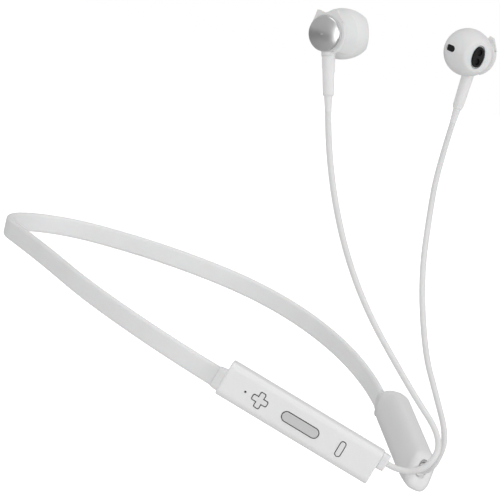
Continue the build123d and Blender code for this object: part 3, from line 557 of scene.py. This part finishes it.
def spread(places: np.ndarray) -> np.ndarray:
    """The directions along which places spread, least first, one to a column."""
    return np.linalg.eigh(np.cov((places - places.mean(axis=0)).T))[1]


@dataclass(frozen=True)
class Local:
    """A right-angled frame in a pod: along it, up it and towards the wearer's right."""

    origin: Vector
    along: Vector
    up: Vector
    right: Vector

    def place(self, along: float, up: float, right: float) -> Vector:
        """A point of the frame in the scene's own metres."""
        return self.origin + self.along * along + self.up * up + self.right * right


def block_frame(node: str, before: float) -> Local:
    """The frame of a CAD block, from the spread of its corners.

    Args:
        node: A node whose three sizes differ, the longest along the pod.
        before: Length of pod that lies before the block's middle.

    Returns:
        The frame, which starts at the pod's own start on the block's middle line.
    """
    places = corners(node)
    directions = spread(places)
    along = Vector(directions[:, 2])
    along *= 1.0 if along.x > 0 else -1.0
    up = Vector(directions[:, 1])
    up *= 1.0 if up.z > 0 else -1.0
    right = along.cross(up)
    return Local(Vector(places.mean(axis=0)) - along * before, along, up, right)


def skin(name: str, rings: list[list[Vector]], material: bpy.types.Material) -> bpy.types.Object:
    """A closed smooth skin through rings of points, with both ends filled.

    Args:
        name: Name of the piece.
        rings: Rings with the same number of points each, in order along the piece.
        material: The finish to show.

    Returns:
        The new piece.
    """
    count = len(rings[0])
    faces = [(row * count + k, row * count + (k + 1) % count,
              (row + 1) * count + (k + 1) % count, (row + 1) * count + k)
             for row in range(len(rings) - 1) for k in range(count)]
    last = (len(rings) - 1) * count
    faces.append(tuple(range(count))[::-1])
    faces.append(tuple(last + k for k in range(count)))
    mesh = bpy.data.meshes.new(name)
    mesh.from_pydata([tuple(point) for ring in rings for point in ring], [], faces)
    shape = bmesh.new()
    shape.from_mesh(mesh)
    bmesh.ops.recalc_face_normals(shape, faces=shape.faces)
    shape.to_mesh(mesh)
    shape.free()
    mesh.shade_smooth()
    mesh.materials.append(material)
    piece = bpy.data.objects.new(name, mesh)
    bpy.context.scene.collection.objects.link(piece)
    return piece


def ease(value: float) -> float:
    """A quarter circle's rise from 0 to 1, steep at its start."""
    reach = 1.0 - min(max(value, 0.0), 1.0)
    return math.sqrt(1.0 - reach * reach)


def blend_in(value: float) -> float:
    """A soft step from 0 to 1."""
    part = min(max(value, 0.0), 1.0)
    return part * part * (3.0 - 2.0 * part)


@dataclass
class BatteryPod:
    """The pod that holds the cell, as one soft capsule with a slanting end."""

    # The battery shell in the pods' white plastic with painted shade.
    shell: SatinPlastic = SatinPlastic("battery shell", BATTERY_SHADED_WHITE, gap_shade_tone=SHALLOW_GAP_SHADE)
    cell_middle: float = 26.6 * MM
    half_height: float = 7.3 * MM
    depth: tuple[float, float] = (-6.0 * MM, 5.0 * MM)
    lean: float = math.radians(16.0)
    band_middle: tuple[float, float] = (-2.3 * MM, 2.0 * MM)
    band_height: tuple[float, float] = (-6.7 * MM, 1.85 * MM)
    band_depth: tuple[float, float] = (0.55 * MM, 3.45 * MM)
    band_square: float = 3.6
    start: float = -5.0 * MM
    flare: float = 1.0 * MM
    top_shoulder: float = 5.5 * MM
    side_shoulder: float = 5.0 * MM
    end_middle: float = 55.2 * MM
    end_slant: float = 0.563
    slant_run: float = 12.0 * MM
    end_round: float = 3.4 * MM
    tip_rise: float = 1.3 * MM
    squareness: float = 3.0
    mouth: tuple[float, float] = (3.1 * MM, 1.9 * MM)
    mouth_up: float = 2.4 * MM
    mouth_depth: float = 0.6 * MM
    mouth_square: float = 2.6
    mouth_lip: tuple[tuple[float, float], ...] = (
        (0.0, 0.35 * MM), (0.05 * MM, 0.12 * MM), (0.25 * MM, 0.0))
    end_inset: float = 0.8
    start_steps: int = 12
    shoulder_steps: int = 24
    side_steps: int = 40
    end_steps: int = 12
    points: int = 96

    def leaned(self, high: float, side: float, share: float) -> tuple[float, float]:
        """A point of a section, turned outwards about the band.

        Args:
            high: The point's height before the turn.
            side: Its place towards the wearer's right before the turn.
            share: Share of the pod's full lean that it is turned by.

        Returns:
            The point's height and its place towards the wearer's right.
        """
        turn = self.lean * share
        pivot_up, pivot_right = self.band_middle
        up, right = high - pivot_up, side - pivot_right
        return (pivot_up + up * math.cos(turn) + right * math.sin(turn),
                pivot_right + right * math.cos(turn) - up * math.sin(turn))

    def ring(self, axes: Local, where: float, slant: float, up: tuple[float, float],
             right: tuple[float, float], square: float, share: float = 1.0) -> list[Vector]:
        """A ring of the capsule's skin.

        Args:
            axes: The pod's frame.
            where: Distance of the ring's middle down the pod.
            slant: How far the ring leans forward for each unit that it goes down.
            up: Lowest and highest point.
            right: Points furthest from the wearer's right and nearest to it.
            square: Exponent of the outline; 2 is an ellipse and more is squarer.
            share: How much of the pod's outward lean the ring has.

        Returns:
            The ring's points.
        """
        ring = []
        for k in range(self.points):
            turn = 2 * math.pi * k / self.points
            reach_up = math.copysign(abs(math.cos(turn)) ** (2 / square), math.cos(turn))
            reach_right = math.copysign(abs(math.sin(turn)) ** (2 / square), math.sin(turn))
            high = (up[0] + up[1]) / 2 + (up[1] - up[0]) / 2 * reach_up
            side = (right[0] + right[1]) / 2 + (right[1] - right[0]) / 2 * reach_right
            ring.append(axes.place(where - slant * high, *self.leaned(high, side, share)))
        return ring

    def body_ring(self, axes: Local, where: float, inset: float, slant: float,
                  tip: float = 0.0) -> list[Vector]:
        """A ring of the pod's own side.

        Args:
            axes: The pod's frame.
            where: Distance of the ring's middle down the pod.
            inset: How far the ring lies inside the pod's full section.
            slant: How far the ring leans forward for each unit that it goes down.
            tip: How much higher the ring's lowest point lies than the inset alone puts it.

        Returns:
            The ring's points.
        """
        flare = self.flare * min((where - self.start) / -self.start, 1.0) ** 2
        rise, swell = ease(where / self.top_shoulder), ease(where / self.side_shoulder)

        def between(band: float, pod: float, side: float, share: float) -> float:
            """One side's place between the band's outline and the pod's."""
            return band + side * flare + (pod - band - side * flare) * share

        low = between(self.band_height[0], -self.half_height, -1.0, swell)
        high = between(self.band_height[1], self.half_height, 1.0, rise)
        far = between(self.band_depth[0], self.depth[0], -1.0, swell)
        near = between(self.band_depth[1], self.depth[1], 1.0, swell)
        square = self.band_square + (self.squareness - self.band_square) * blend_in(swell)
        return self.ring(axes, where, slant, (low + inset + tip, high - inset),
                         (far + inset, near - inset), square,
                         blend_in(where / self.top_shoulder))

    def rings(self, axes: Local) -> list[list[Vector]]:
        """The skin from the band, down the pod, round its end and into its mouth.

        Args:
            axes: The pod's frame.

        Returns:
            The skin's rings, in order.
        """
        rings = [self.body_ring(axes, self.start * (1 - step / self.start_steps), 0.0, 0.0)
                 for step in range(self.start_steps)]
        for step in range(self.shoulder_steps + 1):
            share = step / self.shoulder_steps
            rings.append(self.body_ring(axes, self.top_shoulder * share * share, 0.0, 0.0))
        first = self.top_shoulder
        last = self.end_middle - self.end_round
        for step in range(1, self.side_steps + 1):
            where = first + (last - first) * step / self.side_steps
            near_end = (where - last + self.slant_run) / self.slant_run
            rings.append(self.body_ring(axes, where, 0.0, self.end_slant * blend_in(near_end),
                                        self.tip_rise * max(near_end, 0.0) ** 2))
        for step in range(1, self.end_steps + 1):
            turn = math.pi / 2 * step / self.end_steps
            rings.append(self.body_ring(axes, last + self.end_round * math.sin(turn),
                                        self.end_round * (1 - math.cos(turn)) * self.end_inset,
                                        self.end_slant, self.tip_rise))
        half_long, half_wide = self.mouth
        for depth, grow in (*self.mouth_lip, (self.mouth_depth, 0.0)):
            rings.append(self.ring(
                axes, self.end_middle - depth, self.end_slant,
                (self.mouth_up - half_long - grow, self.mouth_up + half_long + grow),
                (-half_wide - grow, half_wide + grow), self.mouth_square))
        return rings

    def build(self) -> None:
        """Build the capsule and dress the pod's other pieces."""
        axes = block_frame("battery_cell", self.cell_middle)
        capsule = skin("battery_capsule", self.rings(axes), self.shell.build())
        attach(capsule, ROOT_BODY)
        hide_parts("battery_inner_shell", "battery_outer_shell")
        dress(MouldedSilicone("battery soft parts", LIGHT_SILICONE).build(),
              "battery_collar", "battery_gland")
        dress(PlatedMetal("cell foil", FOIL).build(), "battery_cell")
        dress(SolderMask("battery board mask").build(), "protection_board")


@dataclass
class Earbud:
    """One earbud, dressed on its CAD pieces."""

    side: Side
    vent_growth: float = 0.25
    vent_reach: float = 2.8 * MM
    grille_squeeze: float = 0.16
    grille_reach: float = 3.4 * MM
    grille_sink: float = 0.45 * MM
    recess_depth: float = 0.55 * MM
    recess_edge: float = 0.1 * MM
    cover_press: float = 0.8 * MM
    cup_press: float = 1.3 * MM
    press_round: float = 0.35 * MM
    skin_slots: ClassVar[dict[str, str]] = {
        "ear_cover": "ear_silicone", "front_housing": "bud_shell",
        "vent_mesh": "black_mesh", "nozzle_grille": "black_mesh"}

    def node(self, piece: str) -> str:
        """The name of one of this earbud's nodes."""
        return f"{self.side.value}_{piece}"

    def middle(self, piece: str) -> Point:
        """The middle of a piece's box."""
        low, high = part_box(self.node(piece))
        return tuple((low + high) / 2)

    def copy_of(self, piece: str) -> bpy.types.Object:
        """A copy of a CAD piece's mesh that rides in its place and can be shaped.

        Args:
            piece: The piece to copy.

        Returns:
            The copy.
        """
        node = self.node(piece)
        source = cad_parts[node]
        copied = bpy.data.objects.new(f"{node}_skin", source.data.copy())
        copied.matrix_world = source.matrix_world.copy()
        bpy.context.scene.collection.objects.link(copied)
        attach(copied, ROOT_BODY)
        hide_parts(node)
        return copied

    def shaped(self, piece: str, *moves: Move) -> None:
        """Shape a copy of a soft or seated piece by moves of its points.

        Args:
            piece: The piece to shape.
            *moves: What each point goes through, in order.
        """
        copied = self.copy_of(piece)
        world = copied.matrix_world
        inverse = world.inverted()
        for vertex in copied.data.vertices:
            place = world @ vertex.co
            for move in moves:
                place = move(place)
            vertex.co = inverse @ place

    def flattened(self, press: float) -> Move:
        """A move that presses the nose flat, with a rounded edge.

        Args:
            press: How far behind the ear mount the flat lies.

        Returns:
            The move.
        """
        tip, axis = EAR_MOUNTS[self.side]
        edge = self.press_round

        def move(place: Vector) -> Vector:
            """Press one point back.

            Args:
                place: The point.

            Returns:
                Its new place.
            """
            over = (place - tip).dot(axis) + press + edge
            if over <= 0.0:
                return place
            return place + axis * (edge * (1.0 - math.exp(-over / edge)) - over)

        return move

    def sunk(self, depth: float) -> Move:
        """A move along the ear mount's axis, into the bud."""
        _, axis = EAR_MOUNTS[self.side]
        return lambda place: place - axis * depth

    def stretched(self, piece: str, across: int, growth: float, reach: float) -> Move:
        """A move that stretches the skin round a piece and leaves the rest in place.

        Args:
            piece: The piece in the middle of the stretch.
            across: 1 for the piece's shorter side, 2 for its longer side.
            growth: Share by which it grows, negative to shrink.
            reach: Distance over which the stretch is full; it ends at twice that.

        Returns:
            The move.
        """
        places = corners(self.node(piece))
        centre = Vector((places.min(axis=0) + places.max(axis=0)) / 2)
        length = Vector(spread(places)[:, across])

        def move(place: Vector) -> Vector:
            """Stretch one point.

            Args:
                place: The point.

            Returns:
                Its new place.
            """
            away = (place - centre).length
            share = 1.0 - blend_in((away - reach) / reach)
            return place + length * ((place - centre).dot(length) * growth * share)

        return move

    def recessed(self) -> Move:
        """A move that deepens the grille's two round recesses.

        Returns:
            The move, which leaves the grille's face in place.
        """
        _, axis = EAR_MOUNTS[self.side]
        face = max(Vector(place).dot(axis) for place in corners(self.node("nozzle_grille")))
        return lambda place: (place - axis * self.recess_depth
                              if place.dot(axis) < face - self.recess_edge else place)

    def build(self) -> None:
        """Dress the earbud's pieces."""
        tag = self.side.value
        dress(SatinPlastic(f"{tag} housing", BUD_WHITE, gap_shade_tone=SHALLOW_GAP_SHADE).build(),
              self.node("rear_housing"), self.node("front_housing"))
        dress(SpunMetal(f"{tag} disc metal", DISC_GREY, self.middle("metal_disc")).build(),
              self.node("metal_disc"))
        dress(MouldedSilicone(f"{tag} ear silicone", BUD_WHITE, glow=0.12, gap_shade_tone=0.88).build(),
              self.node("ear_cover"))
        dress(MouldedSilicone(f"{tag} stem silicone", STEM_WHITE).build(),
              self.node("stem_sleeve"))
        dress(WovenMesh(f"{tag} wire cloth").build(),
              self.node("nozzle_grille"), self.node("vent_mesh"))
        dress(PlatedMetal(f"{tag} driver steel", STEEL).build(), self.node("driver"))
        dress(Film(f"{tag} speaker film").build(), self.node("diaphragm"))
        dress(PlatedMetal(f"{tag} magnet plate", FOIL).build(), self.node("snap_magnet"))
        longer = self.stretched("vent_mesh", 2, self.vent_growth, self.vent_reach)
        slimmer = self.stretched("nozzle_grille", 1, -self.grille_squeeze, self.grille_reach)
        self.shaped("ear_cover", slimmer, self.flattened(self.cover_press), longer)
        self.shaped("front_housing", slimmer, self.flattened(self.cup_press), longer)
        self.shaped("vent_mesh", longer)
        self.shaped("nozzle_grille", self.recessed(), slimmer, self.sunk(self.grille_sink))


@dataclass
class Cord:
    """A free cord from a pod's gland up to an earbud's stem."""

    side: Side
    route: tuple[Point, ...]
    length: float
    diameter: float = 2.4 * MM
    order: ClassVar[int] = 3
    section_steps: ClassVar[int] = 6
    route_steps: ClassVar[int] = 16

    def curve(self) -> bpy.types.Object:
        """The cord as one smooth spline with a round section.

        Returns:
            The new piece.
        """
        data = bpy.data.curves.new(f"{self.side.value}_cord_line", "CURVE")
        data.dimensions = "3D"
        data.bevel_depth = self.diameter / 2
        data.bevel_resolution = self.section_steps
        data.use_fill_caps = True
        spline = data.splines.new("NURBS")
        spline.points.add(len(self.route) - 1)
        for point, place in zip(spline.points, self.route):
            point.co = (*place, 1.0)
        spline.order_u = self.order
        spline.use_endpoint_u = True
        spline.resolution_u = self.route_steps
        piece = bpy.data.objects.new(f"{self.side.value}_cord_run", data)
        bpy.context.scene.collection.objects.link(piece)
        return piece

    def build(self) -> None:
        piece = self.curve()
        jacket = MouldedSilicone(f"{self.side.value} cord jacket", CORD_WHITE, glow=0.04)
        piece.data.materials.append(jacket.build())
        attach(piece, ROOT_BODY)
        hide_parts(f"{self.side.value}_cord")
        log.info("laid the %s cord, %.1f mm", self.side.value, self.length / MM)


def in_metres(*route: Point) -> tuple[Point, ...]:
    """A route given in millimetres, in metres."""
    return tuple(tuple(value * MM for value in place) for place in route)


# ---- studio ----------------------------------------------------------------
def bearing(azimuth: float, elevation: float) -> Vector:
    """The direction from the object to something at two angles in degrees.

    Args:
        azimuth: Angle round the object, from the wearer's right towards the chest.
        elevation: Angle above the horizon.

    Returns:
        The direction, of length 1.
    """
    turn, rise = math.radians(azimuth), math.radians(elevation)
    return Vector((math.sin(turn) * math.cos(rise), -math.cos(turn) * math.cos(rise),
                   math.sin(rise)))


@dataclass
class Lamp:
    """A soft box aimed at the object, which mirrors may or may not show."""

    name: str
    azimuth: float
    elevation: float
    power: float
    width: float = 0.7
    height: float = 0.7
    distance: float = 1.1
    mirrored: bool = True

    def build(self, target: Vector) -> None:
        """Hang the lamp and aim it.

        Args:
            target: The point that it aims at.
        """
        data = bpy.data.lights.new(self.name, "AREA")
        data.energy = self.power
        data.shape = "RECTANGLE"
        data.size, data.size_y = self.width, self.height
        lamp = bpy.data.objects.new(self.name, data)
        back = bearing(self.azimuth, self.elevation)
        lamp.location = target + back * self.distance
        lamp.visible_glossy = self.mirrored
        lamp.rotation_mode = "QUATERNION"
        lamp.rotation_quaternion = (-back).to_track_quat("-Z", "Y")
        bpy.context.scene.collection.objects.link(lamp)


@dataclass
class Studio:
    """Floor, light and camera."""

    target: Vector = field(default_factory=lambda: Vector((0.1114, 0.0, 0.0177)))
    azimuth: float = 33.007
    elevation: float = 7.558
    roll: float = 12.883
    distance: float = 1.1
    lens: float = 199.62
    sensor: float = 36.0
    clip: tuple[float, float] = (0.05, 50.0)
    floor_drop: float = 0.30
    floor_size: float = 12.0
    floor_speckle: float = 40.0
    floor_roughness: float = 0.9
    # Share of the floor's colour that reflections show: a painted darker reflection.
    floor_reflection_shade: float = 0.5
    ambient: float = 0.44
    lamps: tuple[Lamp, ...] = (
        Lamp("side box", 95.0, 15.0, 4.28),
        Lamp("front box", 27.0, 6.0, 2.2, 0.3, 0.9),
        Lamp("fill box", -30.0, 20.0, 2.0, mirrored=False),
        Lamp("top box", 30.0, 82.0, 2.94),
    )

    def backdrop_shader(self, material: bpy.types.Material, colour: Colour) -> None:
        """A matte surface that the camera sees as white and that glossy rays see painted darker.

        Args:
            material: The material to set up.
            colour: Its colour under the lamps.
        """
        tree = material.node_tree
        nodes, links = tree.nodes, tree.links
        surface = nodes["Principled BSDF"]
        speckle = nodes.new("ShaderNodeTexNoise")
        speckle.inputs["Scale"].default_value = self.floor_speckle
        ramp = nodes.new("ShaderNodeValToRGB")
        ramp.color_ramp.elements[0].color = (*shade(colour, 0.98), 1.0)
        ramp.color_ramp.elements[1].color = (*colour, 1.0)
        links.new(speckle.outputs["Fac"], ramp.inputs["Fac"])
        surface.inputs["Roughness"].default_value = self.floor_roughness
        # Painted reflection: glossy rays see the floor's colour scaled down, so metal mirrors a
        # darker floor than the lamps light.
        path = nodes.new("ShaderNodeLightPath")
        mirrored = nodes.new("ShaderNodeMapRange")
        mirrored.inputs["To Min"].default_value = 1.0
        mirrored.inputs["To Max"].default_value = self.floor_reflection_shade
        links.new(path.outputs["Is Glossy Ray"], mirrored.inputs["Value"])
        toned = nodes.new("ShaderNodeVectorMath")
        toned.operation = "SCALE"
        links.new(ramp.outputs["Color"], toned.inputs[0])
        links.new(mirrored.outputs["Result"], toned.inputs["Scale"])
        links.new(toned.outputs["Vector"], surface.inputs["Base Color"])
        surface.inputs["Emission Color"].default_value = (1.0, 1.0, 1.0, 1.0)
        links.new(path.outputs["Is Camera Ray"], surface.inputs["Emission Strength"])

    def floor(self) -> None:
        """A wide pale floor below the object."""
        low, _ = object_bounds()
        half = self.floor_size / 2
        corners = [(x, y, low.z - self.floor_drop)
                   for x, y in ((-half, -half), (half, -half), (half, half), (-half, half))]
        mesh = bpy.data.meshes.new("floor")
        mesh.from_pydata(corners, [], [(0, 1, 2, 3)])
        material = bpy.data.materials.new("floor paint")
        material.use_nodes = True
        self.backdrop_shader(material, FLOOR_WHITE)
        mesh.materials.append(material)
        plane = bpy.data.objects.new("floor", mesh)
        bpy.context.scene.collection.objects.link(plane)
        plane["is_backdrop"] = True

    def world(self) -> None:
        """A white surround that lights the object at a plain level."""
        world = bpy.data.worlds.new("surround")
        world.use_nodes = True
        nodes, links = world.node_tree.nodes, world.node_tree.links
        back = nodes["Background"]
        back.inputs["Color"].default_value = (1.0, 1.0, 1.0, 1.0)
        path = nodes.new("ShaderNodeLightPath")
        seen = nodes.new("ShaderNodeMath")
        seen.operation = "MAXIMUM"
        links.new(path.outputs["Is Camera Ray"], seen.inputs[0])
        links.new(path.outputs["Is Transmission Ray"], seen.inputs[1])
        level = nodes.new("ShaderNodeMapRange")
        level.inputs["To Min"].default_value = self.ambient
        level.inputs["To Max"].default_value = 1.0
        links.new(seen.outputs["Value"], level.inputs["Value"])
        links.new(level.outputs["Result"], back.inputs["Strength"])
        bpy.context.scene.world = world

    def camera(self) -> None:
        """The camera, turned about its own axis so that up leans to the right."""
        turn, lean = math.radians(self.azimuth), math.radians(self.roll)
        back = bearing(self.azimuth, self.elevation)
        level = Vector((math.cos(turn), math.sin(turn), 0.0))
        upright = back.cross(level)
        right = level * math.cos(lean) + upright * math.sin(lean)
        up = upright * math.cos(lean) - level * math.sin(lean)
        data = bpy.data.cameras.new("camera")
        data.lens = self.lens
        data.sensor_width = self.sensor
        data.clip_start, data.clip_end = self.clip
        camera = bpy.data.objects.new("camera", data)
        turned = Matrix((right, up, back)).transposed()
        camera.matrix_world = Matrix.Translation(self.target + back * self.distance) \
            @ turned.to_4x4()
        bpy.context.scene.collection.objects.link(camera)
        bpy.context.scene.camera = camera

    def build(self) -> None:
        """Set the stage."""
        self.floor()
        self.world()
        for lamp in self.lamps:
            lamp.build(self.target)
        self.camera()
        bpy.context.scene.view_settings.view_transform = "Standard"


RIGHT_ROUTE = in_metres(
    (206.69, -22.12, -40.13), (212.64, -19.1, -42.22), (221.41, -15.78, -37.13),
    (221.83, -12.2, -26.13), (209.83, -23.89, -10.13), (186.22, -40.36, 22.37),
    (171.55, -52.98, 62.13), (165.72, -52.98, 83.86))
LEFT_ROUTE = in_metres(
    (207.11, 3.81, -44.14), (212.65, -0.99, -42.53), (217.11, -3.13, -36.94),
    (217.79, -1.73, -27.24), (208.0, -0.66, -12.74), (194.54, 8.08, -0.64),
    (176.96, 22.92, 24.46), (164.3, 40.37, 46.96), (155.62, 53.67, 63.18),
    (157.41, 53.67, 83.6))

EAR_MOUNTS = {
    Side.RIGHT: (Vector((0.16405, -0.03586, 0.11395)), Vector((0.6649, 0.7254, 0.1782))),
    Side.LEFT: (Vector((0.17054, 0.03887, 0.11206)), Vector((0.8566, -0.5105, -0.0749))),
}


def main() -> None:
    """Dress the earphones and set the stage."""
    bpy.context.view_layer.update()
    Studio().build()
    for part in (Band(), ControlPod(), BatteryPod(), Earbud(Side.RIGHT), Earbud(Side.LEFT),
                 Cord(Side.RIGHT, RIGHT_ROUTE, 160.0 * MM),
                 Cord(Side.LEFT, LEFT_ROUTE, 168.5 * MM)):
        part.build()
        log.info("built %s", type(part).__name__)


if __name__ == "__main__":
    main()
